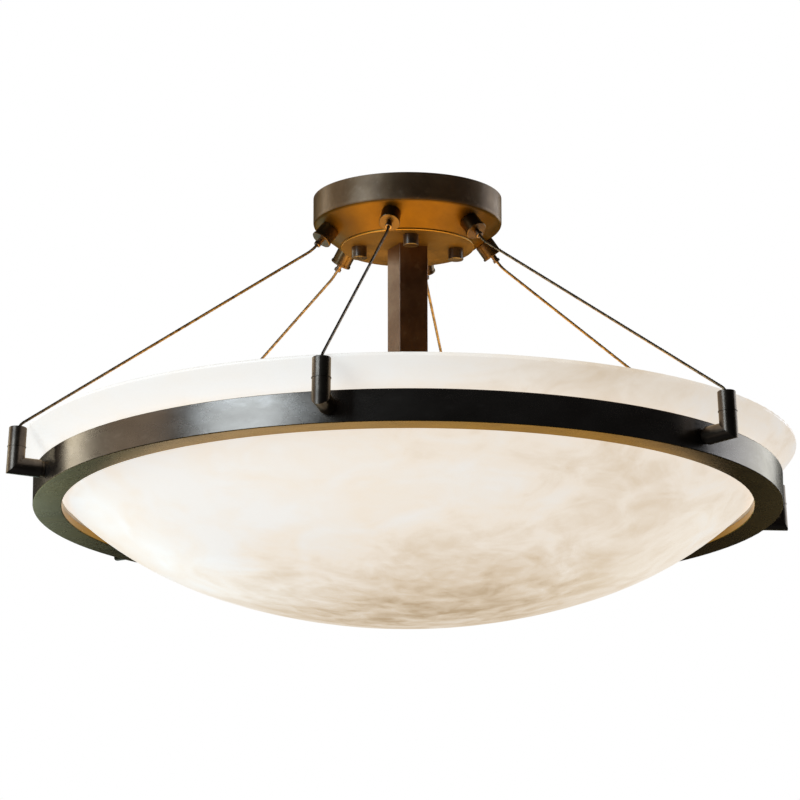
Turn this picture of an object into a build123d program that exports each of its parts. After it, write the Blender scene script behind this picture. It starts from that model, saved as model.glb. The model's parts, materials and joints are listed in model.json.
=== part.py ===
from build123d import *
from math import cos, pi, radians, sin, sqrt, tan
import os

os.makedirs("parts", exist_ok=True)

# A semi flush ceiling light: a shallow bowl lies in a rolled ring, and six wire ropes hang the
# ring from a small canopy. A square stem carries the lamps inside the bowl.
# Millimetres and degrees. The origin is on the ceiling, in the centre of the canopy, and Z is up.

# ---- Driving dimensions ----

# Ring, a rolled L section
ring_drop = 239.5  # ceiling to the top edge of the ring
ring_diameter = 610.0
ring_height = 25.4
ring_wall = 4.8
flange_width = 23.5  # outer face of the ring to the flange's inner edge
ring_flange = 6.35
ring_edge_radius = 0.7

# Bowl, two arcs that run into each other
bowl_depth = 138.8
bowl_overhang = 13.4  # how far the rim stands out past the ring
bowl_wall = 6.5
bowl_crown_angle = 20.4  # slope where the crown's arc meets the shoulder's
bowl_shoulder_radius = 307.3
bowl_rim_radius = 2.0
gasket_width = 5.0
gasket_thickness = 2.8
gasket_setback = 0.3  # the flange's edge stands this far inside the gasket
seat_gap = 0.1

# Canopy, a spun pan with a conical shoulder
canopy_diameter = 156.0
canopy_rim = 22.8
canopy_depth = 40.4
canopy_cone_angle = 38.0  # slope of the cone from the level
canopy_sheet = 2.0
canopy_edge_radius = 5.0  # where the rim turns into the cone
disc_thickness = 1.6
disc_inset = 0.6

# Plate on the ceiling box, and what hangs the canopy from it
plate_margin = 16.0  # canopy's radius to the plate's edge
plate_thickness = 3.0
plate_wire_hole = 30.0
box_screw_hole = 4.8
box_circle_large = 88.9
box_circle_small = 69.85
box_hole_azimuth = 49.0
stud_inset = 15.5  # edge of the canopy's floor to the studs' axes
stud_azimuth = 4.0
stud_count = 4
stud_diameter = 6.0
stud_shoulder_diameter = 10.0
stud_shoulder_height = 2.0
cap_nut_diameter = 12.6
cap_nut_height = 9.3
cap_nut_crown = 1.8  # solid end of the blind thread
ground_screw_circle = 56.0
ground_screw_azimuth = 250.0
ground_screw_diameter = 4.0
ground_head_diameter = 8.5
ground_head_height = 3.0

# Stem and the threaded pipe inside it
stem_width = 25.4
stem_wall = 2.0
stem_corner_radius = 0.9
stem_azimuth = 23.8
pipe_diameter = 9.8
pipe_bore = 6.4
pipe_end = 4.0  # how far the pipe stands out of its upper nut
pipe_window_width = 5.0  # where the lamps' wires leave the pipe inside the hub
pipe_window_height = 14.0
pipe_nut_width = 14.0
pipe_nut_height = 5.0
pipe_washer_diameter = 22.0
pipe_washer_thickness = 1.6

# Lamps
lamp_sink = 20.0  # the ring's top edge to the lamps' axes
lamp_count = 6
lamp_azimuth = 53.8
hub_width = 72.0  # across the flats
hub_height = 40.0
hub_sheet = 1.5
hub_nut_diameter = 16.0
hub_nut_height = 10.0
hub_nut_crown = 2.5
holder_length = 44.0
holder_diameter = 38.0
holder_base_length = 12.0
holder_base_diameter = 29.0
holder_bore = 27.2
holder_bore_depth = 26.0
holder_thread = 10.0
holder_thread_length = 8.0
holder_nut_width = 14.0
holder_nut_height = 3.0
bulb_diameter = 60.0
bulb_length = 110.0
bulb_base_diameter = 26.2
bulb_base_taper = 4.5
bulb_contact_diameter = 13.0
bulb_stand = 1.0  # how far the bulb's shoulder stands off the lampholder
bulb_neck_diameter = 31.0
bulb_neck_length = 9.0
bulb_flare = 0.45  # slope of the glass where it leaves the neck

# Wire ropes and what grips them at the canopy
rope_count = 6
rope_azimuth = 18.64
rope_diameter = 2.4
rope_tail = 24.0  # how far a rope's end stands inside the canopy's cone
rope_tip_bend = 36.0
rope_end_bend = 12.0
gripper_inset = 11.0  # canopy's radius to where a gripper's axis meets the cone
gripper_diameter = 16.0
gripper_length = 13.2
gripper_lip_diameter = 17.2
gripper_lip_length = 1.8
gripper_chamber = 8.2
gripper_front = 1.8
bushing_diameter = 10.0
bushing_bore = 3.0
bushing_grip = 4.0  # how deep the bushing screws into the gripper
bushing_inside = 9.0  # how far it stands inside the canopy's cone
bushing_nut_width = 14.0
bushing_nut_height = 4.0
plunger_diameter = 4.4
plunger_bore = 3.0
plunger_head_diameter = 5.8
plunger_head_length = 2.4
plunger_reach = 6.0  # tip of the head to the gripper's front
plunger_flange_diameter = 7.6
plunger_flange_thickness = 1.6

# Elbows that carry the ring
bar_diameter = 14.3
elbow_lean = 3.0
cap_length = 15.6
cap_clearance = 1.1  # between the bowl's rim and the cap
cap_drop = 6.0  # how far the cap's top stays below the bowl's rim
elbow_neck_diameter = 9.0
elbow_neck_length = 0.8
collar_diameter = 12.0
collar_thickness = 2.2
spigot_diameter = 9.0
spigot_length = 5.0
seam_washer_diameter = 15.2
seam_washer_thickness = 0.6
cap_slot_width = 3.2
cap_slot_depth = 4.2
ferrule_diameter = 6.0
ferrule_length = 5.0
ring_screw_diameter = 5.0
ring_screw_depth = 12.0
ring_screw_head_diameter = 8.5
ring_screw_head_height = 2.8

# Clearances
thread_gap = 0.05  # between a screw and its thread, on the radius
hole_gap = 0.3  # between a screw and a plain hole, on the radius
slide_gap = 0.1  # between a sliding plunger and its guide, on the radius
face_gap = 0.1  # between faces that rest on each other with no screw to draw them up
broken_edge = 0.4  # chamfer on turned pieces

# ---- Derived places ----

ring_radius = ring_diameter / 2
ring_top = -ring_drop
ring_bottom = ring_top - ring_height
flange_top = ring_bottom + ring_flange
ring_opening = ring_diameter - 2 * flange_width
flange_radius = ring_opening / 2
wall_radius = ring_radius - ring_wall
lamp_drop = ring_drop + lamp_sink
rope_azimuths = [rope_azimuth + 360 / rope_count * turn for turn in range(rope_count)]
lamp_azimuths = [lamp_azimuth + 360 / lamp_count * turn for turn in range(lamp_count)]

# The crown's arc and the shoulder's meet with no kink and end at a rim just outside the ring.
rim_radius = ring_radius + bowl_overhang
half_slope = tan(radians(bowl_crown_angle / 2))
arc_depth = bowl_shoulder_radius - bowl_depth
rim_share = (rim_radius - half_slope * arc_depth) / (1 + half_slope**2)
rim_excess = (arc_depth**2 + rim_radius**2 - bowl_shoulder_radius**2) / (1 + half_slope**2)
shoulder_centre_r = rim_share - sqrt(rim_share**2 - rim_excess)
arc_offset = shoulder_centre_r / sin(radians(bowl_crown_angle))
bowl_crown_radius = bowl_shoulder_radius + arc_offset
# The shoulder's arc rests on the gasket's inner top edge.
gasket_radius = flange_radius + gasket_setback
gasket_top = flange_top + gasket_thickness
seat_distance = bowl_shoulder_radius + seat_gap
shoulder_centre_z = gasket_top + sqrt(seat_distance**2 - (gasket_radius - shoulder_centre_r) ** 2)
crown_centre_z = shoulder_centre_z + arc_offset * cos(radians(bowl_crown_angle))
bowl_rim = crown_centre_z - bowl_crown_radius + bowl_depth

canopy_radius = canopy_diameter / 2
canopy_cone_depth = canopy_depth - canopy_rim
canopy_floor_radius = canopy_radius - canopy_cone_depth / tan(radians(canopy_cone_angle))
stud_circle = 2 * (canopy_floor_radius - stud_inset)
gripper_circle = canopy_diameter - 2 * gripper_inset
plate_diameter = canopy_diameter - 2 * plate_margin
canopy_floor_top = -canopy_depth + canopy_sheet
disc_bottom = -canopy_depth - disc_thickness
disc_radius = canopy_floor_radius - disc_inset
stud_hole = stud_diameter / 2 + hole_gap
cap_thread_end = disc_bottom - cap_nut_height + cap_nut_crown

hub_top = -lamp_drop + hub_height / 2
hub_bottom = -lamp_drop - hub_height / 2
hub_apothem = hub_width / 2
hub_turn = lamp_azimuth + 180 / lamp_count
cover_bottom = hub_bottom - hub_sheet
pipe_hole = pipe_diameter / 2 + hole_gap
pipe_thread = pipe_diameter / 2 + thread_gap
washer_top = canopy_floor_top + pipe_washer_thickness
pipe_top = washer_top + pipe_nut_height + pipe_end
hub_thread_end = cover_bottom - hub_nut_height + hub_nut_crown

# Gripper frame: s runs out of the canopy's cone, square to it, from the cone's outer face.
gripper_radius = gripper_circle / 2
gripper_drop = canopy_rim + (canopy_radius - gripper_radius) * tan(radians(canopy_cone_angle))
gripper_axis = Vector(sin(radians(canopy_cone_angle)), 0, -cos(radians(canopy_cone_angle)))
gripper_seat = Vector(gripper_radius, 0, -gripper_drop)
gripper_profile = Plane(origin=gripper_seat, x_dir=gripper_axis, z_dir=(0, -1, 0))
gripper_cross = Plane(origin=gripper_seat, x_dir=(0, 1, 0), z_dir=gripper_axis)
gripper_line = Axis(gripper_seat, gripper_axis)
# A flat nut inside the cone meets it at two edges, so its middle stands off the sheet.
cone_curve = gripper_radius / sin(radians(canopy_cone_angle)) - canopy_sheet
nut_corner = bushing_nut_width / sqrt(3)
nut_start = -canopy_sheet - (cone_curve - sqrt(cone_curve**2 - nut_corner**2)) - face_gap / 2
plunger_tip = gripper_length + plunger_reach
chamber_end = gripper_length - gripper_front

# Elbow frame: u runs out along the arm from the ring's face, w runs up along the riser.
arm_axis = Vector(cos(radians(elbow_lean)), 0, sin(radians(elbow_lean)))
riser_axis = Vector(-sin(radians(elbow_lean)), 0, cos(radians(elbow_lean)))
arm_foot = Vector(ring_radius, 0, ring_top - ring_height / 2)
# The cap's top stands just outside the bowl's rim and a little below it.
cap_top_out = bowl_overhang + cap_clearance + bar_diameter / 2
cap_top_up = bowl_rim - cap_drop - arm_foot.Z
elbow_reach = cap_top_out * arm_axis.X + cap_top_up * arm_axis.Z
elbow_height = cap_top_up * arm_axis.X - cap_top_out * arm_axis.Z
elbow_rise = elbow_height - cap_length - seam_washer_thickness
elbow_corner = arm_foot + arm_axis * elbow_reach
arm_cross = Plane(origin=arm_foot, x_dir=(0, 1, 0), z_dir=arm_axis)
riser_cross = Plane(origin=elbow_corner, x_dir=arm_axis, z_dir=riser_axis)
# A leaning collar meets the round wall at its upper edge, and a leaning head at its lower one.
lean_share = sin(radians(elbow_lean)) / 2
collar_start = collar_diameter * lean_share + collar_diameter**2 / 8 / ring_radius + face_gap / 2
arm_neck = collar_start + collar_thickness
arm_start = arm_neck + elbow_neck_length
head_stand = ring_screw_head_diameter * lean_share + ring_screw_head_diameter**2 / 8 / wall_radius
head_start = -ring_wall / cos(radians(elbow_lean)) - head_stand - face_gap / 2
cap_start = elbow_rise + seam_washer_thickness
cap_slot_floor = elbow_height - cap_slot_depth
ferrule_bottom = cap_slot_floor - face_gap - ferrule_length
ferrule_chamber = ferrule_diameter / 2 + slide_gap

# A rope runs out through its gripper, straight across to the riser and down into the cap.
rope_start = gripper_seat - gripper_axis * rope_tail
rope_end = elbow_corner + riser_axis * ferrule_bottom
tip_corner = gripper_seat + gripper_axis * plunger_tip
cap_corner = elbow_corner + riser_axis * elbow_height
for settle in range(8):
    run_axis = (cap_corner - tip_corner).normalized()
    tip_tangent = rope_tip_bend * tan(radians(run_axis.get_angle(gripper_axis) / 2))
    end_tangent = rope_end_bend * tan(radians(run_axis.get_angle(riser_axis * -1) / 2))
    tip_corner = gripper_seat + gripper_axis * (plunger_tip + tip_tangent)
    cap_corner = elbow_corner + riser_axis * (cap_slot_floor + end_tangent)
rope_route = [(point.X, point.Z) for point in (rope_start, tip_corner, cap_corner, rope_end)]


# ---- Ring, its screws and the elbows ----

with BuildPart() as ring_screw_drill:
    with BuildSketch(arm_cross.offset(-2 * ring_wall)):
        Circle(ring_screw_diameter / 2 + hole_gap)
    extrude(amount=3 * ring_wall)

with BuildPart() as ring:
    with BuildSketch(Plane.XZ) as ring_section:
        with BuildLine():
            Polyline(
                (ring_radius, ring_top),
                (ring_radius, ring_bottom),
                (flange_radius, ring_bottom),
                (flange_radius, flange_top),
                (wall_radius, flange_top),
                (wall_radius, ring_top),
                close=True,
            )
        make_face()
        fillet(ring_section.vertices(), ring_edge_radius)
    revolve(axis=Axis.Z)
    for azimuth in rope_azimuths:
        add(ring_screw_drill.part, rotation=(0, 0, azimuth), mode=Mode.SUBTRACT)
ring.part.label = "ring"
export_step(ring.part, "parts/ring.step")

with BuildPart() as elbow:
    with BuildLine():
        Polyline(
            arm_foot + arm_axis * arm_start,
            elbow_corner,
            elbow_corner + riser_axis * elbow_rise,
        )
    with BuildSketch(arm_cross.offset(arm_start)):
        Circle(bar_diameter / 2)
    sweep(transition=Transition.RIGHT)
    with BuildSketch(arm_cross.offset(arm_neck)):
        Circle(elbow_neck_diameter / 2)
    extrude(amount=elbow_neck_length)
    with BuildSketch(riser_cross.offset(elbow_rise)):
        Circle(spigot_diameter / 2)
    extrude(amount=spigot_length)
    with BuildSketch(arm_cross.offset(arm_neck)):
        Circle(ring_screw_diameter / 2 + thread_gap)
    extrude(amount=ring_screw_depth, mode=Mode.SUBTRACT)

with BuildPart() as elbow_cap:
    with BuildSketch(riser_cross.offset(cap_start)):
        Circle(bar_diameter / 2)
    extrude(amount=elbow_height - cap_start)
    chamfer(elbow_cap.faces().sort_by(Axis(elbow_corner, riser_axis))[-1].edges(), broken_edge)
    with BuildSketch(riser_cross.offset(cap_start)):
        Circle(spigot_diameter / 2 + thread_gap)
    extrude(amount=elbow_rise + spigot_length + face_gap - cap_start, mode=Mode.SUBTRACT)
    with BuildSketch(riser_cross.offset(elbow_rise)):
        Circle(ferrule_chamber)
    extrude(amount=cap_slot_floor - elbow_rise, mode=Mode.SUBTRACT)
    with BuildSketch(riser_cross.offset(cap_slot_floor)):
        with Locations((-bar_diameter / 2, 0)):
            Rectangle(bar_diameter, cap_slot_width)
        Circle(cap_slot_width / 2)
    extrude(amount=cap_slot_depth, mode=Mode.SUBTRACT)

with BuildPart() as elbow_trim:
    with BuildSketch(arm_cross.offset(collar_start)):
        Circle(collar_diameter / 2)
        Circle(ring_screw_diameter / 2 + hole_gap, mode=Mode.SUBTRACT)
    extrude(amount=collar_thickness)
    with BuildSketch(riser_cross.offset(elbow_rise)):
        Circle(seam_washer_diameter / 2)
        Circle(spigot_diameter / 2 + thread_gap, mode=Mode.SUBTRACT)
    extrude(amount=seam_washer_thickness)

with BuildPart() as ring_screw:
    with BuildSketch(arm_cross.offset(head_start - ring_screw_head_height)):
        Circle(ring_screw_head_diameter / 2)
    extrude(amount=ring_screw_head_height)
    fillet(ring_screw.edges().sort_by(Axis(arm_foot, arm_axis))[0], ring_screw_head_height / 2)
    with BuildSketch(arm_cross.offset(head_start)):
        Circle(ring_screw_diameter / 2)
    extrude(amount=arm_neck + ring_screw_depth - face_gap - head_start)

with BuildPart() as ferrule:
    with BuildSketch(riser_cross.offset(ferrule_bottom)):
        Circle(ferrule_diameter / 2)
        Circle(rope_diameter / 2 + thread_gap, mode=Mode.SUBTRACT)
    extrude(amount=ferrule_length)

for number, azimuth in enumerate(rope_azimuths, start=1):
    with BuildPart() as placed_elbow:
        add(elbow.part, rotation=(0, 0, azimuth))
    placed_elbow.part.label = f"elbow_{number}"
    export_step(placed_elbow.part, f"parts/elbow_{number}.step")

with BuildPart() as elbow_caps:
    for azimuth in rope_azimuths:
        add(elbow_cap.part, rotation=(0, 0, azimuth))
elbow_caps.part.label = "elbow_caps"
export_step(elbow_caps.part, "parts/elbow_caps.step")

with BuildPart() as elbow_washers:
    for azimuth in rope_azimuths:
        add(elbow_trim.part, rotation=(0, 0, azimuth))
elbow_washers.part.label = "elbow_washers"
export_step(elbow_washers.part, "parts/elbow_washers.step")

with BuildPart() as ring_screws:
    for azimuth in rope_azimuths:
        add(ring_screw.part, rotation=(0, 0, azimuth))
ring_screws.part.label = "ring_screws"
export_step(ring_screws.part, "parts/ring_screws.step")

with BuildPart() as rope_ferrules:
    for azimuth in rope_azimuths:
        add(ferrule.part, rotation=(0, 0, azimuth))
rope_ferrules.part.label = "rope_ferrules"
export_step(rope_ferrules.part, "parts/rope_ferrules.step")


# ---- Bowl and the gasket it lies on ----


def arc_point(centre_r, centre_z, radius, angle):
    """A point on an arc in the bowl's section, at an angle out from straight below its centre."""
    return (centre_r + radius * sin(radians(angle)), centre_z - radius * cos(radians(angle)))


def rim_point(radius):
    """Where a shoulder arc of this radius comes up to the level of the rim."""
    rise = shoulder_centre_z - bowl_rim
    return (shoulder_centre_r + sqrt(radius**2 - rise**2), bowl_rim)


def shoulder_middle(radius):
    """A point half way up a shoulder arc of this radius."""
    end_r, end_z = rim_point(radius)
    start_r, start_z = arc_point(shoulder_centre_r, shoulder_centre_z, radius, bowl_crown_angle)
    chord = Vector((start_r + end_r) / 2 - shoulder_centre_r, (start_z + end_z) / 2 - shoulder_centre_z)
    reach = chord.normalized() * radius
    return (shoulder_centre_r + reach.X, shoulder_centre_z + reach.Y)


with BuildPart() as bowl:
    with BuildSketch(Plane.XZ) as bowl_section:
        with BuildLine():
            outer_crown = bowl_crown_radius
            inner_crown = bowl_crown_radius - bowl_wall
            outer_shoulder = bowl_shoulder_radius
            inner_shoulder = bowl_shoulder_radius - bowl_wall
            ThreePointArc(
                arc_point(0, crown_centre_z, outer_crown, 0),
                arc_point(0, crown_centre_z, outer_crown, bowl_crown_angle / 2),
                arc_point(0, crown_centre_z, outer_crown, bowl_crown_angle),
            )
            ThreePointArc(
                arc_point(0, crown_centre_z, outer_crown, bowl_crown_angle),
                shoulder_middle(outer_shoulder),
                rim_point(outer_shoulder),
            )
            Line(rim_point(outer_shoulder), rim_point(inner_shoulder))
            ThreePointArc(
                rim_point(inner_shoulder),
                shoulder_middle(inner_shoulder),
                arc_point(0, crown_centre_z, inner_crown, bowl_crown_angle),
            )
            ThreePointArc(
                arc_point(0, crown_centre_z, inner_crown, bowl_crown_angle),
                arc_point(0, crown_centre_z, inner_crown, bowl_crown_angle / 2),
                arc_point(0, crown_centre_z, inner_crown, 0),
            )
            Line(
                arc_point(0, crown_centre_z, inner_crown, 0),
                arc_point(0, crown_centre_z, outer_crown, 0),
            )
        make_face()
        fillet(bowl_section.vertices().group_by(Axis.Y)[-1], bowl_rim_radius)
    revolve(axis=Axis.Z)
bowl.part.label = "bowl"
export_step(bowl.part, "parts/bowl.step")

with BuildPart() as bowl_gasket:
    with BuildSketch(Plane.XY.offset(flange_top)):
        Circle(gasket_radius + gasket_width)
        Circle(gasket_radius, mode=Mode.SUBTRACT)
    extrude(amount=gasket_thickness)
bowl_gasket.part.label = "bowl_gasket"
export_step(bowl_gasket.part, "parts/bowl_gasket.step")


# ---- Canopy, its plate and fasteners ----

with BuildPart() as gripper_drill:
    with BuildSketch(gripper_cross.offset(-3 * canopy_sheet)):
        Circle(bushing_diameter / 2 + hole_gap)
    extrude(amount=6 * canopy_sheet)

with BuildPart() as canopy_shell:
    with BuildSketch(Plane.XZ) as canopy_section:
        with BuildLine():
            wall_line = Polyline(
                (pipe_hole, -canopy_depth),
                (canopy_floor_radius, -canopy_depth),
                (canopy_radius, -canopy_rim),
                (canopy_radius, 0),
            )
            rim_turn = canopy_sheet * tan(radians(45 - canopy_cone_angle / 2))
            floor_turn = canopy_sheet * tan(radians(canopy_cone_angle / 2))
            Polyline(
                wall_line @ 1,
                (canopy_radius - canopy_sheet, 0),
                (canopy_radius - canopy_sheet, -canopy_rim + rim_turn),
                (canopy_floor_radius - floor_turn, canopy_floor_top),
                (pipe_hole, canopy_floor_top),
                wall_line @ 0,
            )
        make_face()
        inner_corner = canopy_section.vertices().group_by(Axis.X)[-2].sort_by(Axis.Y)[0]
        fillet(inner_corner, canopy_edge_radius - canopy_sheet)
        outer_corner = canopy_section.vertices().group_by(Axis.X)[-1].sort_by(Axis.Y)[0]
        fillet(outer_corner, canopy_edge_radius)
    revolve(axis=Axis.Z)
    with BuildSketch(Plane.XY.offset(-canopy_depth)):
        with PolarLocations(stud_circle / 2, stud_count, start_angle=stud_azimuth):
            Circle(stud_hole)
    extrude(amount=canopy_sheet, mode=Mode.SUBTRACT)
    for azimuth in rope_azimuths:
        add(gripper_drill.part, rotation=(0, 0, azimuth), mode=Mode.SUBTRACT)
canopy_shell.part.label = "canopy_shell"
export_step(canopy_shell.part, "parts/canopy_shell.step")

with BuildPart() as canopy_disc:
    with BuildSketch(Plane.XY.offset(disc_bottom)):
        Circle(disc_radius)
        Circle(pipe_hole, mode=Mode.SUBTRACT)
        with PolarLocations(stud_circle / 2, stud_count, start_angle=stud_azimuth):
            Circle(stud_hole, mode=Mode.SUBTRACT)
    extrude(amount=disc_thickness)
    chamfer(canopy_disc.edges().filter_by(GeomType.CIRCLE).sort_by(SortBy.RADIUS)[-2:], broken_edge)
canopy_disc.part.label = "canopy_disc"
export_step(canopy_disc.part, "parts/canopy_disc.step")

with BuildPart() as mounting_plate:
    with BuildSketch(Plane.XY.offset(-plate_thickness)):
        Circle(plate_diameter / 2)
        Circle(plate_wire_hole / 2, mode=Mode.SUBTRACT)
        with PolarLocations(stud_circle / 2, stud_count, start_angle=stud_azimuth):
            Circle(stud_diameter / 2 + thread_gap, mode=Mode.SUBTRACT)
        with PolarLocations(box_circle_large / 2, 2, start_angle=box_hole_azimuth):
            Circle(box_screw_hole / 2, mode=Mode.SUBTRACT)
        with PolarLocations(box_circle_small / 2, 2, start_angle=box_hole_azimuth + 90):
            Circle(box_screw_hole / 2, mode=Mode.SUBTRACT)
        with PolarLocations(ground_screw_circle / 2, 1, start_angle=ground_screw_azimuth):
            Circle(ground_screw_diameter / 2 + thread_gap, mode=Mode.SUBTRACT)
    extrude(amount=plate_thickness)
mounting_plate.part.label = "mounting_plate"
export_step(mounting_plate.part, "parts/mounting_plate.step")

with BuildPart() as ground_screw:
    with BuildSketch(Plane.XY.offset(-plate_thickness)):
        with PolarLocations(ground_screw_circle / 2, 1, start_angle=ground_screw_azimuth):
            Circle(ground_screw_diameter / 2)
    extrude(amount=plate_thickness)
    with BuildSketch(Plane.XY.offset(-plate_thickness - ground_head_height)):
        with PolarLocations(ground_screw_circle / 2, 1, start_angle=ground_screw_azimuth):
            Circle(ground_head_diameter / 2)
            Rectangle(ground_head_diameter, ground_screw_diameter / 4, mode=Mode.SUBTRACT)
    extrude(amount=ground_head_height / 3)
    with BuildSketch(Plane.XY.offset(-plate_thickness - ground_head_height * 2 / 3)):
        with PolarLocations(ground_screw_circle / 2, 1, start_angle=ground_screw_azimuth):
            Circle(ground_head_diameter / 2)
    extrude(amount=ground_head_height * 2 / 3)
ground_screw.part.label = "ground_screw"
export_step(ground_screw.part, "parts/ground_screw.step")

with BuildPart() as canopy_studs:
    with BuildSketch(Plane.XY.offset(cap_thread_end + face_gap)):
        with PolarLocations(stud_circle / 2, stud_count, start_angle=stud_azimuth):
            Circle(stud_diameter / 2)
    extrude(amount=-cap_thread_end - face_gap)
    with BuildSketch(Plane.XY.offset(-plate_thickness - stud_shoulder_height)):
        with PolarLocations(stud_circle / 2, stud_count, start_angle=stud_azimuth):
            Circle(stud_shoulder_diameter / 2)
    extrude(amount=stud_shoulder_height)
canopy_studs.part.label = "canopy_studs"
export_step(canopy_studs.part, "parts/canopy_studs.step")

with BuildPart() as cap_nuts:
    with BuildSketch(Plane.XY.offset(disc_bottom - cap_nut_height)):
        with PolarLocations(stud_circle / 2, stud_count, start_angle=stud_azimuth):
            Circle(cap_nut_diameter / 2)
    extrude(amount=cap_nut_height)
    chamfer(cap_nuts.faces().group_by(Axis.Z)[0].edges(), broken_edge)
    with BuildSketch(Plane.XY.offset(cap_thread_end)):
        with PolarLocations(stud_circle / 2, stud_count, start_angle=stud_azimuth):
            Circle(stud_diameter / 2 + thread_gap)
    extrude(amount=disc_bottom - cap_thread_end, mode=Mode.SUBTRACT)
cap_nuts.part.label = "cap_nuts"
export_step(cap_nuts.part, "parts/cap_nuts.step")


# ---- Stem, pipe and the hub that holds the lamps ----

with BuildPart() as stem:
    with BuildSketch(Plane.XY.offset(hub_top)):
        RectangleRounded(stem_width, stem_width, stem_corner_radius, rotation=stem_azimuth)
        stem_hollow = stem_width - 2 * stem_wall
        Rectangle(stem_hollow, stem_hollow, rotation=stem_azimuth, mode=Mode.SUBTRACT)
    extrude(amount=disc_bottom - hub_top)
stem.part.label = "stem"
export_step(stem.part, "parts/stem.step")

with BuildPart() as stem_pipe:
    with BuildSketch(Plane.XY.offset(hub_thread_end + face_gap)):
        Circle(pipe_diameter / 2)
        Circle(pipe_bore / 2, mode=Mode.SUBTRACT)
    extrude(amount=pipe_top - hub_thread_end - face_gap)
    with BuildSketch(Plane.XZ):
        with Locations((0, -lamp_drop)):
            SlotOverall(pipe_window_height, pipe_window_width, rotation=90)
    extrude(amount=pipe_diameter, mode=Mode.SUBTRACT)
stem_pipe.part.label = "stem_pipe"
export_step(stem_pipe.part, "parts/stem_pipe.step")

with BuildPart() as pipe_washer:
    with BuildSketch(Plane.XY.offset(canopy_floor_top)):
        Circle(pipe_washer_diameter / 2)
        Circle(pipe_hole, mode=Mode.SUBTRACT)
    extrude(amount=pipe_washer_thickness)
pipe_washer.part.label = "pipe_washer"
export_step(pipe_washer.part, "parts/pipe_washer.step")

with BuildPart() as pipe_nuts:
    with BuildSketch(Plane.XY.offset(washer_top), Plane.XY.offset(hub_top - hub_sheet - pipe_nut_height)):
        RegularPolygon(pipe_nut_width / 2, 6, major_radius=False)
        Circle(pipe_thread, mode=Mode.SUBTRACT)
    extrude(amount=pipe_nut_height)
pipe_nuts.part.label = "pipe_nuts"
export_step(pipe_nuts.part, "parts/pipe_nuts.step")

with BuildPart() as holder_drill:
    with BuildSketch(Plane.YZ.offset(hub_apothem - 2 * hub_sheet)):
        with Locations((0, -lamp_drop)):
            Circle(holder_thread / 2 + hole_gap)
    extrude(amount=4 * hub_sheet)

with BuildPart() as lamp_hub:
    with BuildSketch(Plane.XY.offset(hub_bottom)):
        RegularPolygon(hub_apothem, lamp_count, major_radius=False, rotation=hub_turn)
    extrude(amount=hub_height)
    with BuildSketch(Plane.XY.offset(hub_bottom)):
        inner_apothem = hub_apothem - hub_sheet
        RegularPolygon(inner_apothem, lamp_count, major_radius=False, rotation=hub_turn)
    extrude(amount=hub_height - hub_sheet, mode=Mode.SUBTRACT)
    with BuildSketch(Plane.XY.offset(hub_top - hub_sheet)):
        Circle(pipe_hole)
    extrude(amount=hub_sheet, mode=Mode.SUBTRACT)
    for azimuth in lamp_azimuths:
        add(holder_drill.part, rotation=(0, 0, azimuth), mode=Mode.SUBTRACT)
lamp_hub.part.label = "lamp_hub"
export_step(lamp_hub.part, "parts/lamp_hub.step")

with BuildPart() as hub_cover:
    with BuildSketch(Plane.XY.offset(cover_bottom)):
        RegularPolygon(hub_apothem, lamp_count, major_radius=False, rotation=hub_turn)
        Circle(pipe_hole, mode=Mode.SUBTRACT)
    extrude(amount=hub_sheet)
hub_cover.part.label = "hub_cover"
export_step(hub_cover.part, "parts/hub_cover.step")

with BuildPart() as hub_cap_nut:
    with BuildSketch(Plane.XY.offset(cover_bottom - hub_nut_height)):
        Circle(hub_nut_diameter / 2)
    extrude(amount=hub_nut_height)
    fillet(hub_cap_nut.edges().group_by(Axis.Z)[0], hub_nut_crown)
    with BuildSketch(Plane.XY.offset(hub_thread_end)):
        Circle(pipe_thread)
    extrude(amount=cover_bottom - hub_thread_end, mode=Mode.SUBTRACT)
hub_cap_nut.part.label = "hub_cap_nut"
export_step(hub_cap_nut.part, "parts/hub_cap_nut.step")


# ---- Lampholders and bulbs, drawn along X from the canopy's axis ----

lamp_profile = Plane(origin=(0, 0, -lamp_drop), x_dir=(1, 0, 0), z_dir=(0, -1, 0))
lamp_line = Axis((0, 0, -lamp_drop), (1, 0, 0))
holder_end = hub_apothem + holder_length
contact_face = holder_end - holder_bore_depth
bulb_start = contact_face + face_gap
bulb_shoulder = holder_end + bulb_stand
bulb_neck_end = bulb_shoulder + bulb_neck_length
bulb_centre = bulb_start + bulb_length - bulb_diameter / 2

with BuildPart() as lampholder:
    with BuildSketch(lamp_profile):
        with BuildLine():
            Polyline(
                (hub_apothem, 0),
                (hub_apothem, holder_base_diameter / 2),
                (hub_apothem + holder_base_length, holder_base_diameter / 2),
                (hub_apothem + holder_base_length, holder_diameter / 2),
                (holder_end, holder_diameter / 2),
                (holder_end, holder_bore / 2),
                (contact_face, holder_bore / 2),
                (contact_face, 0),
                close=True,
            )
        make_face()
    revolve(axis=lamp_line)
    fillet(lampholder.edges().filter_by(GeomType.CIRCLE).sort_by(SortBy.RADIUS)[-2:], 1.5 * broken_edge)
    with BuildSketch(Plane.YZ.offset(hub_apothem - holder_thread_length)):
        with Locations((0, -lamp_drop)):
            Circle(holder_thread / 2)
    extrude(amount=holder_thread_length)
    with BuildSketch(Plane.YZ.offset(hub_apothem - holder_thread_length)):
        with Locations((0, -lamp_drop)):
            Circle(holder_thread / 4)
    extrude(amount=holder_length - holder_bore_depth + holder_thread_length, mode=Mode.SUBTRACT)

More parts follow.
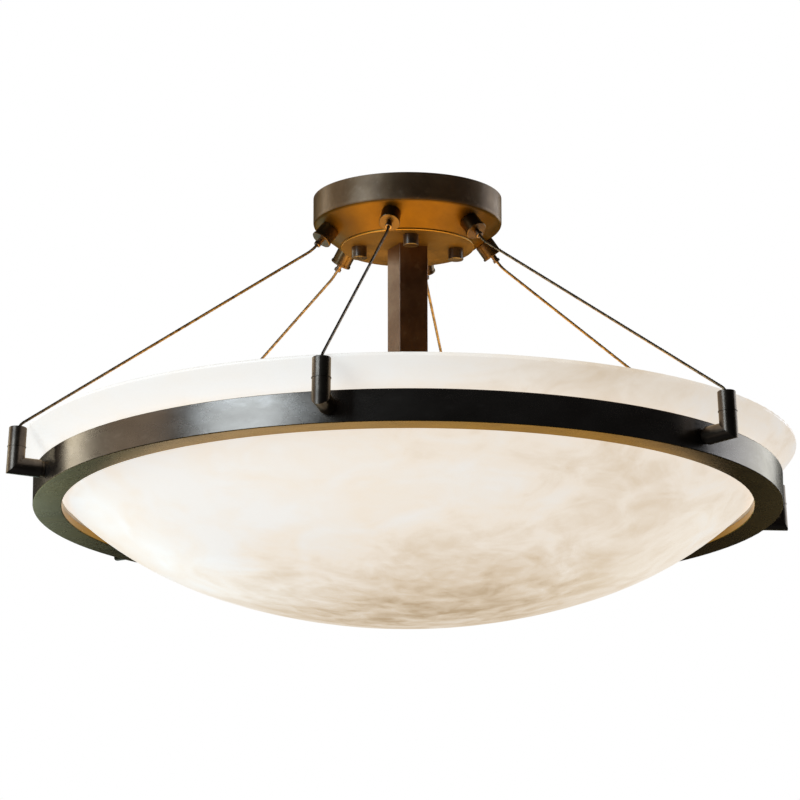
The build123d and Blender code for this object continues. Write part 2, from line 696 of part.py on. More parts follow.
with BuildPart() as holder_nut:
    with BuildSketch(Plane.YZ.offset(hub_apothem - hub_sheet - holder_nut_height)):
        with Locations((0, -lamp_drop)):
            RegularPolygon(holder_nut_width / 2, 6, major_radius=False)
            Circle(holder_thread / 2 + thread_gap, mode=Mode.SUBTRACT)
    extrude(amount=holder_nut_height)

with BuildPart() as bulb:
    with BuildSketch(lamp_profile):
        with BuildLine():
            base_line = Polyline(
                (bulb_start, 0),
                (bulb_start, bulb_contact_diameter / 2),
                (bulb_start + bulb_base_taper, bulb_base_diameter / 2),
                (bulb_shoulder, bulb_base_diameter / 2),
                (bulb_shoulder, bulb_neck_diameter / 2),
                (bulb_neck_end, bulb_neck_diameter / 2),
            )
            Spline(
                base_line @ 1,
                (bulb_centre, bulb_diameter / 2),
                tangents=[(1, bulb_flare), (1, 0)],
            )
            globe = CenterArc((bulb_centre, 0), bulb_diameter / 2, 0, 90)
            Line(globe @ 0, base_line @ 0)
        make_face()
    revolve(axis=lamp_line)

for number, azimuth in enumerate(lamp_azimuths, start=1):
    with BuildPart() as placed_holder:
        add(lampholder.part, rotation=(0, 0, azimuth))
    placed_holder.part.label = f"lampholder_{number}"
    export_step(placed_holder.part, f"parts/lampholder_{number}.step")
    with BuildPart() as placed_bulb:
        add(bulb.part, rotation=(0, 0, azimuth))
    placed_bulb.part.label = f"bulb_{number}"
    export_step(placed_bulb.part, f"parts/bulb_{number}.step")

with BuildPart() as lampholder_nuts:
    for azimuth in lamp_azimuths:
        add(holder_nut.part, rotation=(0, 0, azimuth))
lampholder_nuts.part.label = "lampholder_nuts"
export_step(lampholder_nuts.part, "parts/lampholder_nuts.step")


# ---- Grippers and ropes ----

with BuildPart() as gripper_body:
    with BuildSketch(gripper_profile):
        with BuildLine():
            Polyline(
                (0, bushing_diameter / 2 + thread_gap),
                (0, gripper_diameter / 2 - broken_edge),
                (broken_edge, gripper_diameter / 2),
                (gripper_length - gripper_lip_length, gripper_diameter / 2),
                (gripper_length - gripper_lip_length, gripper_lip_diameter / 2),
                (gripper_length - broken_edge, gripper_lip_diameter / 2),
                (gripper_length, gripper_lip_diameter / 2 - broken_edge),
                (gripper_length, plunger_diameter / 2 + slide_gap),
                (chamber_end, plunger_diameter / 2 + slide_gap),
                (chamber_end, gripper_chamber / 2),
                (bushing_grip + face_gap, gripper_chamber / 2),
                (bushing_grip + face_gap, bushing_diameter / 2 + thread_gap),
                close=True,
            )
        make_face()
    revolve(axis=gripper_line)

with BuildPart() as plunger:
    with BuildSketch(gripper_profile):
        with BuildLine():
            flange_end = chamber_end - face_gap
            flange_start = flange_end - plunger_flange_thickness
            Polyline(
                (flange_start, plunger_bore / 2),
                (flange_start, plunger_flange_diameter / 2),
                (flange_end, plunger_flange_diameter / 2),
                (flange_end, plunger_diameter / 2),
                (plunger_tip - plunger_head_length, plunger_diameter / 2),
                (plunger_tip - plunger_head_length, plunger_head_diameter / 2),
                (plunger_tip - broken_edge, plunger_head_diameter / 2),
                (plunger_tip, plunger_head_diameter / 2 - broken_edge),
                (plunger_tip, plunger_bore / 2),
                close=True,
            )
        make_face()
    revolve(axis=gripper_line)

with BuildPart() as bushing:
    with BuildSketch(gripper_cross.offset(-bushing_inside)):
        Circle(bushing_diameter / 2)
        Circle(bushing_bore / 2, mode=Mode.SUBTRACT)
    extrude(amount=bushing_inside + bushing_grip)

with BuildPart() as bushing_nut:
    with BuildSketch(gripper_cross.offset(nut_start - bushing_nut_height)):
        RegularPolygon(bushing_nut_width / 2, 6, major_radius=False)
        Circle(bushing_diameter / 2 + thread_gap, mode=Mode.SUBTRACT)
    extrude(amount=bushing_nut_height)

with BuildPart() as rope:
    with BuildLine(Plane.XZ) as rope_line:
        FilletPolyline(*rope_route, radius=[rope_tip_bend, rope_end_bend])
    with BuildSketch(gripper_cross.offset(-rope_tail)):
        Circle(rope_diameter / 2)
    sweep()

rope_length = rope_line.wires()[0].length
swept_length = rope.part.volume / (pi * rope_diameter**2 / 4)
print(f"rope: {rope_length:.1f} mm long, {swept_length:.1f} mm by its volume")
print(f"rope bends: {rope_tip_bend:.1f} mm and {rope_end_bend:.1f} mm radius")

for number, azimuth in enumerate(rope_azimuths, start=1):
    with BuildPart() as placed_gripper:
        add(gripper_body.part, rotation=(0, 0, azimuth))
    placed_gripper.part.label = f"gripper_body_{number}"
    export_step(placed_gripper.part, f"parts/gripper_body_{number}.step")
    with BuildPart() as placed_plunger:
        add(plunger.part, rotation=(0, 0, azimuth))
    placed_plunger.part.label = f"gripper_plunger_{number}"
    export_step(placed_plunger.part, f"parts/gripper_plunger_{number}.step")
    with BuildPart() as placed_rope:
        add(rope.part, rotation=(0, 0, azimuth))
    placed_rope.part.label = f"rope_{number}"
    export_step(placed_rope.part, f"parts/rope_{number}.step")

with BuildPart() as gripper_bushings:
    for azimuth in rope_azimuths:
        add(bushing.part, rotation=(0, 0, azimuth))
gripper_bushings.part.label = "gripper_bushings"
export_step(gripper_bushings.part, "parts/gripper_bushings.step")

with BuildPart() as bushing_nuts:
    for azimuth in rope_azimuths:
        add(bushing_nut.part, rotation=(0, 0, azimuth))
bushing_nuts.part.label = "bushing_nuts"
export_step(bushing_nuts.part, "parts/bushing_nuts.step")
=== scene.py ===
import json
import math

import bmesh
import bpy
from mathutils import Euler, Matrix, Vector


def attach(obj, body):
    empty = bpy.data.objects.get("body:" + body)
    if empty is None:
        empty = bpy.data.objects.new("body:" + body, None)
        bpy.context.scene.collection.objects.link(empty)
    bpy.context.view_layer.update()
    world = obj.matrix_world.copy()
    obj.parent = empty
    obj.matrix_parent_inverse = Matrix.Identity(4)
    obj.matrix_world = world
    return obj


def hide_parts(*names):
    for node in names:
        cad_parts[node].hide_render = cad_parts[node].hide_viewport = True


# Semi flush ceiling light. A glass bowl rests in a bronze ring, and six wire ropes hold the ring
# under a canopy. Everything is in metres with Z up. The ceiling is at z = 0, the Z axis runs down
# the middle of the light, and the photograph is taken from the -Y side.

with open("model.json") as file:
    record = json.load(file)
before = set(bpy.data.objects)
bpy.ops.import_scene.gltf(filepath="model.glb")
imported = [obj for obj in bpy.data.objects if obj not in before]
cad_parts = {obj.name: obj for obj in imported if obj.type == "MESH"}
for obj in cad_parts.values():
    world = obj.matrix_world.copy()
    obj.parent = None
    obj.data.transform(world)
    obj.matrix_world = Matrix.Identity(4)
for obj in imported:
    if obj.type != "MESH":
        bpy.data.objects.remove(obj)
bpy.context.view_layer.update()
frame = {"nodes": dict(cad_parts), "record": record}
nodes = frame["nodes"]


# ---- Sizes of the part that the looks refer to ----

RING_TOP = -0.2395
RING_HEIGHT = 0.0254
FLANGE_EDGE = 0.2835  # radius, 2 mm out from the inner edge of the ring's flange
CANOPY_CORNER = -0.0225  # height just above the lower edge of the canopy's drum
DISC_RADIUS = 0.05487
ROPE_COUNT = 6
ROPE_AZIMUTH = 18.64  # degrees, of the first rope
ROPE_RADIUS = 0.0012

# A face's tone begins this far before its edge, so that the whole face has it.
EDGE_BAND = 0.0004

# Ramps read values from 0 to 1, so places along X are shifted into that range.
X_SHIFT = 0.3


# ---- Colours ----

# The glass, and how bright its lamps make it
WHITE = (0.96, 0.965, 0.96)
CREAM_PALE = (0.95, 0.925, 0.885)
CREAM = (0.96, 0.86, 0.74)
CREAM_DARK = (0.80, 0.655, 0.49)
CREAM_DEEP = (0.58, 0.43, 0.27)
GLASS_GLOW = 0.84
CLOUD_CONTRAST = 1.7

# Glancing reflections of the bronze, and the golden ones painted where the lamps' glow is painted
# on it
BRONZE_EDGE = (1.0, 0.74, 0.42)
PAINTED_GLOW_EDGE = (1.0, 0.74, 0.34)


# ---- Small helpers ----

def add_object(name, data):
    """A new object in the scene."""
    added = bpy.data.objects.new(name, data)
    bpy.context.scene.collection.objects.link(added)
    return added


def show_camera(tree, shown, others, output):
    """Joins two shaders to an output: camera rays meet the first, all other rays the second."""
    rays = tree.nodes.new("ShaderNodeLightPath")
    choose = tree.nodes.new("ShaderNodeMixShader")
    tree.links.new(rays.outputs["Is Camera Ray"], choose.inputs["Fac"])
    tree.links.new(others, choose.inputs[1])
    tree.links.new(shown, choose.inputs[2])
    tree.links.new(choose.outputs["Shader"], output.inputs["Surface"])


class Shader:
    """A material under construction: adds nodes and joins them."""

    def __init__(self, name):
        self.material = bpy.data.materials.new(name)
        self.material.use_nodes = True
        self.tree = self.material.node_tree
        self.tree.nodes.clear()
        self.output = self.tree.nodes.new("ShaderNodeOutputMaterial")
        self.surface = self.tree.nodes.new("ShaderNodeBsdfPrincipled")
        self.link(self.surface.outputs["BSDF"], self.output.inputs["Surface"])
        self.place = self.tree.nodes.new("ShaderNodeTexCoord").outputs["Object"]

    def link(self, source, target):
        self.tree.links.new(source, target)

    def put(self, value, socket):
        """Gives a socket its value: another node's output, a colour or a number."""
        if isinstance(value, bpy.types.NodeSocket):
            self.link(value, socket)
        elif isinstance(value, tuple):
            socket.default_value = (*value, 1)
        else:
            socket.default_value = value

    def set(self, **values):
        """Gives the surface's sockets their values, and returns the finished material."""
        for name, value in values.items():
            self.put(value, self.surface.inputs[name.replace("_", " ").title()])
        return self.material

    # Numbers

    def math(self, operation, first, second):
        node = self.tree.nodes.new("ShaderNodeMath")
        node.operation = operation
        self.put(first, node.inputs[0])
        self.put(second, node.inputs[1])
        return node.outputs[0]

    def add(self, first, second):
        return self.math("ADD", first, second)

    def times(self, first, second):
        return self.math("MULTIPLY", first, second)

    def contrast(self, value, middle):
        return self.times(self.math("SUBTRACT", value, middle), CLOUD_CONTRAST)

    # Places

    def axis(self, letter):
        node = self.tree.nodes.new("ShaderNodeSeparateXYZ")
        self.link(self.place, node.inputs[0])
        return node.outputs[letter]

    def along(self):
        """The place from left to right, for a ramp."""
        return self.add(self.axis("X"), X_SHIFT)

    def from_axis(self):
        """The distance from the vertical axis."""
        flat = self.tree.nodes.new("ShaderNodeVectorMath")
        flat.operation = "MULTIPLY"
        self.link(self.place, flat.inputs[0])
        flat.inputs[1].default_value = (1, 1, 0)
        out = self.tree.nodes.new("ShaderNodeVectorMath")
        out.operation = "LENGTH"
        self.link(flat.outputs["Vector"], out.inputs[0])
        return out.outputs["Value"]

    def around(self, scale):
        """Coordinates wrapped round the vertical axis: along the turn, out from it and up."""
        turn = self.math("ARCTAN2", self.axis("Y"), self.axis("X"))
        wrapped = self.tree.nodes.new("ShaderNodeCombineXYZ")
        for value, share, letter in zip((turn, self.from_axis(), self.axis("Z")), scale, "XYZ"):
            self.link(self.times(value, share), wrapped.inputs[letter])
        return wrapped.outputs["Vector"]

    def mapped(self, scale, turn=(0, 0, 0), shift=(0, 0, 0)):
        """Coordinates that are scaled, turned and shifted."""
        node = self.tree.nodes.new("ShaderNodeMapping")
        node.inputs["Scale"].default_value = scale
        node.inputs["Rotation"].default_value = turn
        node.inputs["Location"].default_value = shift
        self.link(self.place, node.inputs["Vector"])
        return node.outputs["Vector"]

    # Patterns

    def noise(self, scale, detail=4, rough=0.5, warp=0, vector=None):
        node = self.tree.nodes.new("ShaderNodeTexNoise")
        node.inputs["Scale"].default_value = scale
        node.inputs["Detail"].default_value = detail
        node.inputs["Roughness"].default_value = rough
        node.inputs["Distortion"].default_value = warp
        self.link(vector or self.place, node.inputs["Vector"])
        return node.outputs["Fac"]

    def ramp(self, value, stops):
        """Colours along a value. Each stop is a place and a colour or a grey."""
        node = self.tree.nodes.new("ShaderNodeValToRGB")
        ramp = node.color_ramp
        while len(ramp.elements) < len(stops):
            ramp.elements.new(0.5)
        for element, (place, colour) in zip(ramp.elements, stops):
            if not isinstance(colour, tuple):
                colour = (colour, colour, colour)
            element.position = place
            element.color = (*colour, 1)
        self.link(value, node.inputs["Fac"])
        return node.outputs["Color"]

    def spots(self, scale, dark, light, **pattern):
        """Soft spots of two colours."""
        return self.ramp(self.noise(scale, **pattern), [(0.3, dark), (0.7, light)])

    def mix(self, factor, first, second):
        node = self.tree.nodes.new("ShaderNodeMix")
        node.data_type = "RGBA"
        self.put(factor, node.inputs[0])
        self.put(first, node.inputs[6])
        self.put(second, node.inputs[7])
        return node.outputs[2]

    def bump(self, height, strength, distance, below=None):
        """Relief from a height, on top of the relief below it."""
        node = self.tree.nodes.new("ShaderNodeBump")
        node.inputs["Strength"].default_value = strength
        node.inputs["Distance"].default_value = distance
        self.link(height, node.inputs["Height"])
        if below:
            self.link(below, node.inputs["Normal"])
        return node.outputs["Normal"]


# ---- Materials ----

def bronze(
    name, tones, rough=(0.30, 0.46), blotch=16, wrap=None, metallic=0.92, coat=0.35,
    edge=BRONZE_EDGE, rubbed=None, edge_highlight=None,
):
    """Dark oil-finished bronze: a blotchy patina, worn flecks, fine grain and small scratches.

    Tones are the patina's deep, middle and light colours. Rough is its least and most roughness,
    and blotch the scale of its clouds. Wrap runs the clouds round the vertical axis, stretched by
    three factors. Edge is the colour of glancing reflections. The painted glow names a height, a
    distance from the axis and two tones: metal below the one or inside the other gets the tones as
    painted lamp light, with painted golden reflections. The painted highlight names a distance from
    the axis, beyond which the metal gets a bright tone in place of caught light, and that tone."""
    shader = Shader(name)
    deep, middle, light = tones
    vector = shader.around(wrap) if wrap else shader.place
    clouds = shader.noise(blotch, detail=6, rough=0.62, warp=0.4, vector=vector)
    flecks = shader.noise(blotch * 9, detail=5, rough=0.6, vector=vector)
    smears = shader.noise(blotch * 2.3, detail=5, rough=0.65, vector=vector)
    scratches = shader.noise(90, detail=3, rough=0.7, vector=shader.mapped((1, 1, 14)))
    grain = shader.noise(2400, detail=2)
    patina = shader.ramp(clouds, [(0.34, deep), (0.52, middle), (0.70, light)])
    tone = shader.mix(shader.ramp(flecks, [(0.58, 0.0), (0.75, 0.45)]), patina, light)
    # Painted lamp light: below a height or inside a radius the patina gives way to warm golden
    # tones in place of the lamps' glow lighting the metal or shining in it.
    if rubbed:
        height, reach, rubbed_dark, rubbed_light = rubbed
        glow_tone = shader.ramp(clouds, [(0.34, rubbed_dark), (0.66, rubbed_light)])
        low = shader.math("LESS_THAN", shader.axis("Z"), height)
        near = shader.math("LESS_THAN", shader.from_axis(), reach)
        bright = shader.math("MAXIMUM", low, near)
        tone = shader.mix(bright, tone, glow_tone)
        # Painted reflection: there the reflections are tinted golden in the middle from left to
        # right, and fade to both sides.
        glow_reflection = shader.ramp(shader.along(), [(0.14, 0.0), (0.36, 1.0), (0.45, 1.0), (0.55, 0.0)])
        edge = shader.mix(shader.times(bright, glow_reflection), edge, PAINTED_GLOW_EDGE)
    # Painted highlight: beyond a radius the metal gets a bright tone in place of light caught by
    # the edge.
    if edge_highlight:
        rim, highlight_tone = edge_highlight
        beyond = shader.math("GREATER_THAN", shader.from_axis(), rim)
        tone = shader.mix(beyond, tone, highlight_tone)
    relief = shader.bump(grain, strength=0.06, distance=0.0002)
    relief = shader.bump(scratches, strength=0.04, distance=0.0004, below=relief)
    relief = shader.bump(clouds, strength=0.10, distance=0.0012, below=relief)
    return shader.set(
        base_color=tone,
        metallic=metallic,
        roughness=shader.ramp(smears, [(0.35, rough[0]), (0.7, rough[1])]),
        normal=relief,
        coat_weight=coat,
        coat_roughness=0.22,
        specular_tint=edge,
    )


def plated(name, colour, dark, rough=0.32, grain=900):
    """Plated steel with a faint mottle and brushed grain."""
    shader = Shader(name)
    brushed = shader.noise(grain, detail=3, rough=0.6, vector=shader.mapped((1, 1, 0.1)))
    return shader.set(
        base_color=shader.spots(grain / 8, dark, colour, detail=5, rough=0.6, warp=0.3),
        metallic=1.0,
        roughness=shader.ramp(brushed, [(0.3, rough), (0.75, rough + 0.18)]),
        normal=shader.bump(brushed, strength=0.1, distance=0.0002),
    )


def alabaster():
    """Cloudy cream glass, lit from inside.

    Its clouds and veins are its own. Painted shade deepens them to tan on the right and under the
    lamps' hub, and painted light makes the rim's left side whiter, so the left stays pale and
    little mottled."""
    shader = Shader("alabaster_glass")
    broad_place = shader.mapped((1, 1, 1.6), turn=(0.3, 0.2, 0.5), shift=(0.1, 0.4, 0))
    puffs_place = shader.mapped((1, 1, 2.2), turn=(0.2, 0, 0.8))
    veins_place = shader.mapped((1, 1.3, 1.5))
    broad = shader.noise(5.5, detail=5, rough=0.55, warp=0.9, vector=broad_place)
    puffs = shader.noise(17, detail=7, rough=0.62, warp=0.9, vector=puffs_place)
    veins = shader.noise(40, detail=6, rough=0.58, warp=0.5, vector=veins_place)
    out = shader.from_axis()
    along = shader.along()

    # The mottle is clouds, broken up by veins; painted shade makes it darker under the hub and to
    # the right, and the veins stronger there.
    clouds = shader.add(shader.times(broad, 0.5), shader.times(puffs, 0.5))
    under = shader.ramp(out, [(0.03, 0.60), (0.12, 0.32), (0.20, 0.0)])
    right_shade = shader.ramp(along, [(0.25, 0.0), (0.46, 0.25), (0.60, 0.12)])
    broken = shader.add(shader.times(right_shade, 0.35), shader.add(under, 0.08))
    mottle_and_shade = shader.add(shader.contrast(clouds, 0.42), shader.add(under, right_shade))
    mottle_and_shade = shader.add(mottle_and_shade, shader.times(shader.contrast(veins, 0.46), broken))
    tan = [(0.02, CREAM_PALE), (0.34, CREAM), (0.68, CREAM_DARK), (1.0, CREAM_DEEP)]
    body = shader.ramp(mottle_and_shade, tan)

    # Painted light: the rim's left side is whiter, as if lit from the left.
    rim = shader.ramp(out, [(0.296, 0.0), (0.306, 0.65)])
    left_light = shader.ramp(along, [(0.24, 1.0), (0.44, 0.0)])
    body = shader.mix(shader.times(rim, left_light), body, WHITE)

    glow = shader.ramp(out, [(0.03, 0.94), (0.20, 1.0), (0.296, 0.98), (0.312, 0.88)])
    return shader.set(
        base_color=shader.mix(0.55, body, CREAM_DEEP),
        roughness=shader.ramp(puffs, [(0.3, 0.30), (0.7, 0.44)]),
        normal=shader.bump(shader.noise(60, detail=3), strength=0.08, distance=0.001),
        emission_color=body,
        emission_strength=shader.times(glow, GLASS_GLOW),
    )


def porcelain():
    """White glaze, slightly uneven."""
    shader = Shader("glazed_porcelain")
    return shader.set(
        base_color=shader.spots(45, (0.80, 0.79, 0.74), (0.90, 0.89, 0.86)),
        roughness=0.16,
        coat_weight=0.4,
        normal=shader.bump(shader.noise(160, detail=3), strength=0.08, distance=0.0006),
    )


def frosted():
    """Frosted lamp glass, lit."""
    shader = Shader("lamp_glass")
    return shader.set(
        base_color=(0.97, 0.95, 0.9),
        roughness=0.42,
        normal=shader.bump(shader.noise(900, detail=2), strength=0.1, distance=0.0002),
        emission_color=shader.spots(60, (1.0, 0.86, 0.62), (1.0, 0.92, 0.74), detail=3),
        emission_strength=1.3,
    )


def silicone():
    """Clear silicone that has gone a little amber."""
    shader = Shader("clear_silicone")
    return shader.set(
        base_color=shader.spots(120, (0.34, 0.27, 0.17), (0.46, 0.38, 0.27), detail=3),
        roughness=0.38,
        normal=shader.bump(shader.noise(500, detail=2), strength=0.1, distance=0.0003),
    )


def green_paint():
    """Green passivated screw."""
    shader = Shader("green_paint")
    return shader.set(
        base_color=shader.spots(300, (0.02, 0.16, 0.05), (0.06, 0.34, 0.11), rough=0.6),
        metallic=0.6,
        roughness=0.3,
        normal=shader.bump(shader.noise(900, detail=2), strength=0.1, distance=0.0002),
    )


# The record's material slots
looks = {
    "dark_bronze": bronze(
        "dark_bronze", tones=((0.045, 0.022, 0.007), (0.085, 0.045, 0.013), (0.16, 0.10, 0.035)),
    ),
    "plunger_metal": plated("plunger_metal", (0.30, 0.20, 0.12), (0.08, 0.055, 0.04), rough=0.28),
    "rope_steel": plated(
        "rope_steel", (0.42, 0.31, 0.17), (0.06, 0.042, 0.028), rough=0.28, grain=2000,
    ),
    "zinc_steel": plated("zinc_steel", (0.62, 0.62, 0.60), (0.42, 0.42, 0.40)),
    "alabaster_glass": alabaster(),
    "glazed_porcelain": porcelain(),
    "lamp_glass": frosted(),
    "clear_silicone": silicone(),
    "green_paint": green_paint(),
}

# Pieces with a bronze of their own
ring_bronze = bronze(
    "ring_bronze", tones=((0.125, 0.102, 0.083), (0.17, 0.142, 0.118), (0.26, 0.225, 0.195)),
    rough=(0.22, 0.32), blotch=12, wrap=(0.2, 1, 1.3), coat=0.12, edge=(1.0, 0.88, 0.66),
    # Painted reflection: the flange's underside and inner edge get golden tones and reflections in
    # place of the glowing bowl seen in them.
    rubbed=(
        RING_TOP - RING_HEIGHT + EDGE_BAND, FLANGE_EDGE, (0.22, 0.110, 0.010), (0.34, 0.178, 0.020),
    ),
)
elbow_bronze = bronze(
    "elbow_bronze", tones=((0.064, 0.047, 0.035), (0.108, 0.082, 0.060), (0.19, 0.155, 0.12)),
    edge=(1.0, 0.78, 0.50),
)
canopy_bronze = bronze(
    "canopy_bronze", tones=((0.105, 0.064, 0.034), (0.175, 0.115, 0.066), (0.27, 0.20, 0.135)),
    rough=(0.38, 0.52), metallic=0.85, coat=0.12, edge=(1.0, 0.82, 0.60),
    # Painted lamp light: the canopy's underside below the drum gets warm golden tones in place of
    # the lamps' glow from below.
    rubbed=(CANOPY_CORNER, 0, (0.078, 0.035, 0.002), (0.135, 0.066, 0.004)),
)
disc_bronze = bronze(
    "disc_bronze", tones=((0.09, 0.052, 0.012), (0.12, 0.070, 0.018), (0.16, 0.095, 0.03)),
    rough=(0.42, 0.58), metallic=0.85, coat=0.12, edge=(1.0, 0.80, 0.55),
    # Painted highlight: the disc's rim wall gets a bright amber tone in place of light caught by
    # its edge.
    edge_highlight=(DISC_RADIUS - EDGE_BAND, (0.36, 0.19, 0.03)),
)
stem_bronze = bronze(
    "stem_bronze", tones=((0.085, 0.043, 0.023), (0.14, 0.077, 0.046), (0.22, 0.15, 0.10)),
    rough=(0.34, 0.48), coat=0.3, edge=(1.0, 0.86, 0.68),
)

own_looks = {
    "ring": ring_bronze,
    "elbow_caps": elbow_bronze,
    "elbow_washers": elbow_bronze,
    "canopy_shell": canopy_bronze,
    "canopy_disc": disc_bronze,
    "cap_nuts": elbow_bronze,
    "stem": stem_bronze,
}
for number in range(1, ROPE_COUNT + 1):
    own_looks[f"elbow_{number}"] = elbow_bronze
for part in frame["record"]["subparts"]:
    piece = nodes[part["node"]]
    piece.data.materials.clear()
    piece.data.materials.append(own_looks.get(part["node"], looks[part["material_slot"]]))


# ---- Camera ----

CAMERA_PLACE = (0, -3.4966, -1.0601)
CAMERA_PITCH = 0.24881  # radians, upwards
CAMERA_ROLL = -0.0019  # radians

camera = add_object("camera", bpy.data.cameras.new("camera"))
camera.data.lens = 198
camera.data.sensor_width = 36
camera.data.shift_x = -0.0098
camera.data.shift_y = 0.0005
camera.data.clip_end = 50
camera.location = CAMERA_PLACE
pitch = Euler((math.pi / 2 + CAMERA_PITCH, 0, 0)).to_matrix()
camera.rotation_euler = (pitch @ Matrix.Rotation(CAMERA_ROLL, 3, "Z")).to_euler()
bpy.context.scene.camera = camera


# ---- Wire ropes, six strands laid round a core ----

# The route of a rope from the canopy to its elbow cap: distances from the axis and heights
ROUTE = [
    (0.05222, -0.01248), (0.07539, -0.04212), (0.08225, -0.05092),
    (0.09145, -0.05720), (0.20412, -0.13436), (0.31678, -0.21151),
    (0.32656, -0.21821), (0.32705, -0.22760), (0.32714, -0.22923),
]
SPLINE_STEPS = 40  # per point of the route
STRANDS = 6
LAY = 0.0165  # length of a strand's turn round the core
ROPE_STEP = 0.0012  # between the points of a strand
CORE_SKIP = 3  # the core is straighter, and has a third of the points
CORE_SWELL = 1.05  # the core is a little fatter than a strand
TUBE_SIDES = 6
TINY = 1e-9


def spline_points(route):
    """The points of the smooth line that a NURBS spline draws through a route."""
    curve = bpy.data.curves.new("route", "CURVE")
    curve.dimensions = "3D"
    curve.resolution_u = SPLINE_STEPS
    spline = curve.splines.new("NURBS")
    spline.points.add(len(route) - 1)
    for point, (radius, height) in zip(spline.points, route):
        point.co = (radius, 0, height, 1)
    spline.order_u = 3
    spline.use_endpoint_u = True
    carrier = add_object("route", curve)
    bpy.context.view_layer.update()
    mesh = bpy.data.meshes.new_from_object(carrier)
    line = [vertex.co.copy() for vertex in mesh.vertices]
    bpy.data.objects.remove(carrier)
    bpy.data.meshes.remove(mesh)
    return line


def resample(line, step):
    """Points along a line at an even step."""
    lengths = [0.0]
    for before, after in zip(line, line[1:]):
        lengths.append(lengths[-1] + (after - before).length)
    count = round(lengths[-1] / step)
    points = []
    index = 0
    for number in range(count + 1):
        want = lengths[-1] * number / count
        while index < len(lengths) - 2 and lengths[index + 1] < want:
            index += 1
        share = (want - lengths[index]) / max(lengths[index + 1] - lengths[index], TINY)
        points.append(line[index].lerp(line[index + 1], share))
    return points


def heading(points, index):
    """The direction of a line at one of its points."""
    before = points[max(index - 1, 0)]
    after = points[min(index + 1, len(points) - 1)]
    return (after - before).normalized()


def tube(builder, points, normals, radius):
    """Adds a closed tube along points to a bmesh. A normal is roughly square to the line."""
    rings = []
    for index, (point, normal) in enumerate(zip(points, normals)):
        ahead = heading(points, index)
        across = ahead.cross(normal).normalized()
        upright = across.cross(ahead).normalized()
        corners = []
        for side in range(TUBE_SIDES):
            turn = math.tau * side / TUBE_SIDES
            out = upright * math.cos(turn) + across * math.sin(turn)
            corners.append(builder.verts.new(point + out * radius))
        rings.append(corners)
    for lower, upper in zip(rings, rings[1:]):
        for side in range(TUBE_SIDES):
            after = (side + 1) % TUBE_SIDES
            face = builder.faces.new((lower[side], lower[after], upper[after], upper[side]))
            face.smooth = True
    builder.faces.new(rings[0][::-1])
    builder.faces.new(rings[-1])


def rope_mesh(line):
    """Six strands laid round a core, along a line in the XZ plane."""
    points = resample(line, ROPE_STEP)
    core = points[::CORE_SKIP]
    strand = ROPE_RADIUS / 3
    square = Vector((0, 1, 0))
    builder = bmesh.new()
    tube(builder, core, [square] * len(core), strand * CORE_SWELL)
    for number in range(STRANDS):
        wound = []
        normals = []
        for index, point in enumerate(points):
            upward = heading(points, index).cross(square)
            turn = math.tau * (number / STRANDS + index * ROPE_STEP / LAY)
            out = square * math.cos(turn) + upward * math.sin(turn)
            wound.append(point + out * 2 * strand)
            normals.append(out)
        tube(builder, wound, normals, strand)
    mesh = bpy.data.meshes.new("wire_rope")
    builder.to_mesh(mesh)
    builder.free()
    mesh.materials.append(looks["rope_steel"])
    return mesh


rope = rope_mesh(spline_points(ROUTE))
for number in range(ROPE_COUNT):
    azimuth = ROPE_AZIMUTH + 360 / ROPE_COUNT * number
    strands = add_object(f"wire_rope_{number + 1}", rope.copy())
    strands.data.transform(Matrix.Rotation(math.radians(azimuth), 4, "Z"))
    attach(strands, "fixture")
    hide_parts(f"rope_{number + 1}")


# ---- Floor ----

FLOOR_HEIGHT = -6.5
FLOOR_REACH = 5
FLOOR_CELLS = 8

builder = bmesh.new()
bmesh.ops.create_grid(builder, x_segments=FLOOR_CELLS, y_segments=FLOOR_CELLS, size=FLOOR_REACH)
floor_mesh = bpy.data.meshes.new("floor")
builder.to_mesh(floor_mesh)
builder.free()
floor = add_object("floor", floor_mesh)
floor.location = (0, 0, FLOOR_HEIGHT)
pale = Shader("pale_floor")
floor_tone = pale.spots(1.5, 0.80, 0.84, detail=3)
floor.data.materials.append(pale.set(base_color=floor_tone, roughness=0.7))

# The camera sees the floor with a glow of its own, which keeps it pale and lights nothing else.
wash = pale.tree.nodes.new("ShaderNodeEmission")
pale.link(floor_tone, wash.inputs["Color"])
show_camera(pale.tree, wash.outputs["Emission"], pale.surface.outputs["BSDF"], pale.output)


# ---- Lights and world ----

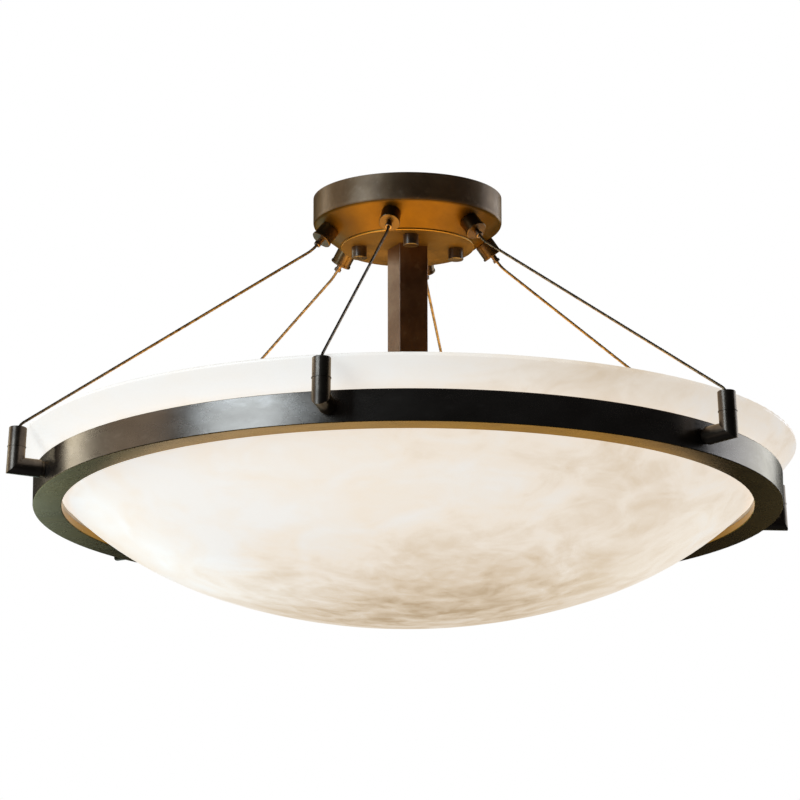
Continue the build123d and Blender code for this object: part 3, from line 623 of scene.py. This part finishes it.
AIM_RING = (0, 0, -0.25)
AIM_BOWL = (0, 0, -0.3)
AIM_CANOPY = (0, 0, 0.5)
INSIDE_BOWL = (0, 0, -0.225)
SOFT_STRENGTH = 0.022


def area_light(name, place, aim, size, power, colour=(1, 1, 1)):
    """A rectangular light that the camera doesn't see."""
    light = bpy.data.lights.new(name, "AREA")
    light.shape = "RECTANGLE"
    light.size, light.size_y = size
    light.energy = power
    light.color = colour
    lamp = add_object(name, light)
    lamp.location = place
    lamp.rotation_euler = (Vector(aim) - Vector(place)).to_track_quat("-Z", "Y").to_euler()
    lamp.visible_camera = False


area_light("key_left", (-2.2, -2.05, 0.40), AIM_RING, (1.5, 1.5), 38, (0.66, 0.83, 1.0))
area_light("fill_left", (-3.0, -0.2, 0.35), AIM_RING, (1.4, 1.4), 5, (1.0, 0.84, 0.66))
area_light("edge_left", (-2.6, 1.4, 0.35), AIM_RING, (1.0, 1.4), 14, (0.94, 0.98, 0.96))
area_light("edge_right", (2.49, 1.68, 0.35), AIM_RING, (2.36, 1.4), 31, (0.64, 0.76, 1.0))
area_light("low_back", (-1.5, 3.2, -1.3), AIM_BOWL, (2.0, 1.2), 9.5, (0.52, 0.82, 1.0))
area_light("low_right", (1.4, 3.2, -1.3), AIM_BOWL, (1.6, 1.2), 1.8, (0.88, 1.0, 0.86))
area_light("low_left", (-1.6, -1.5, -1.75), AIM_BOWL, (1.6, 1.0), 3)
area_light("bowl_glow", INSIDE_BOWL, AIM_CANOPY, (0.34, 0.34), 1.35, (1.0, 0.52, 0.0))

# The camera sees a white world, and the light gets a faint cool one.
world = bpy.data.worlds.new("studio")
bpy.context.scene.world = world
world.use_nodes = True
tree = world.node_tree
tree.nodes.clear()
output = tree.nodes.new("ShaderNodeOutputWorld")
shown = tree.nodes.new("ShaderNodeBackground")
shown.inputs["Color"].default_value = (1, 1, 1, 1)
soft = tree.nodes.new("ShaderNodeBackground")
soft.inputs["Color"].default_value = (0.9, 0.93, 1.0, 1)
soft.inputs["Strength"].default_value = SOFT_STRENGTH
show_camera(tree, shown.outputs["Background"], soft.outputs["Background"], output)
bpy.context.scene.view_settings.view_transform = "Standard"
